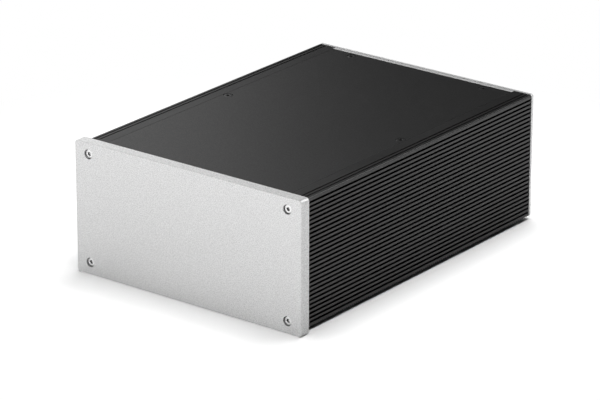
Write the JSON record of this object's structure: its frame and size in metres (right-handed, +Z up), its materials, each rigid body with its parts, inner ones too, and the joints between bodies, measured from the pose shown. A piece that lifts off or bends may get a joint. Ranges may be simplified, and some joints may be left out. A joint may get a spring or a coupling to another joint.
{
  "type": "amplifier enclosure",
  "caption": "Two-tone aluminium amplifier enclosure: thick silver front panel, black finned side profiles, flush black covers and a thin silver rear panel.",
  "frame": {"origin": "middle of the footprint, at the surface that the enclosure stands on", "axes": "+X to the right seen from the front, +Y from the front panel to the rear panel, +Z up"},
  "size_m": [0.23, 0.323, 0.114],
  "materials": {
    "silver_front": "fine bead-blasted, clear anodised",
    "silver_rear": "satin, clear anodised",
    "black_profile": "extruded, black anodised, satin",
    "black_cover": "flat plate, black anodised, satin",
    "bright_screw": "stainless steel",
    "black_screw": "black oxide",
    "pad_rubber": "matt"
  },
  "bodies": {
    "root": {"front_panel": "silver_front", "rear_panel": "silver_rear", "upper_rear_rail": "silver_rear", "lower_rear_rail": "silver_rear", "left_side_profile": "black_profile", "right_side_profile": "black_profile", "top_cover": "black_cover", "bottom_cover": "black_cover", "front_screw_1": "bright_screw", "front_screw_2": "bright_screw", "front_screw_3": "bright_screw", "front_screw_4": "bright_screw", "top_cover_screw_1": "black_screw", "top_cover_screw_2": "black_screw", "top_cover_screw_3": "black_screw", "top_cover_screw_4": "black_screw", "bottom_cover_screw_1": "black_screw", "bottom_cover_screw_2": "black_screw", "bottom_cover_screw_3": "black_screw", "bottom_cover_screw_4": "black_screw", "rear_corner_screw_1": "bright_screw", "rear_corner_screw_2": "bright_screw", "rear_corner_screw_3": "bright_screw", "rear_corner_screw_4": "bright_screw", "rail_screw_1": "bright_screw", "rail_screw_2": "bright_screw", "rail_screw_3": "bright_screw", "rail_screw_4": "bright_screw", "rubber_pad_1": "pad_rubber", "rubber_pad_2": "pad_rubber", "rubber_pad_3": "pad_rubber", "rubber_pad_4": "pad_rubber"}
  },
  "joints": []
}
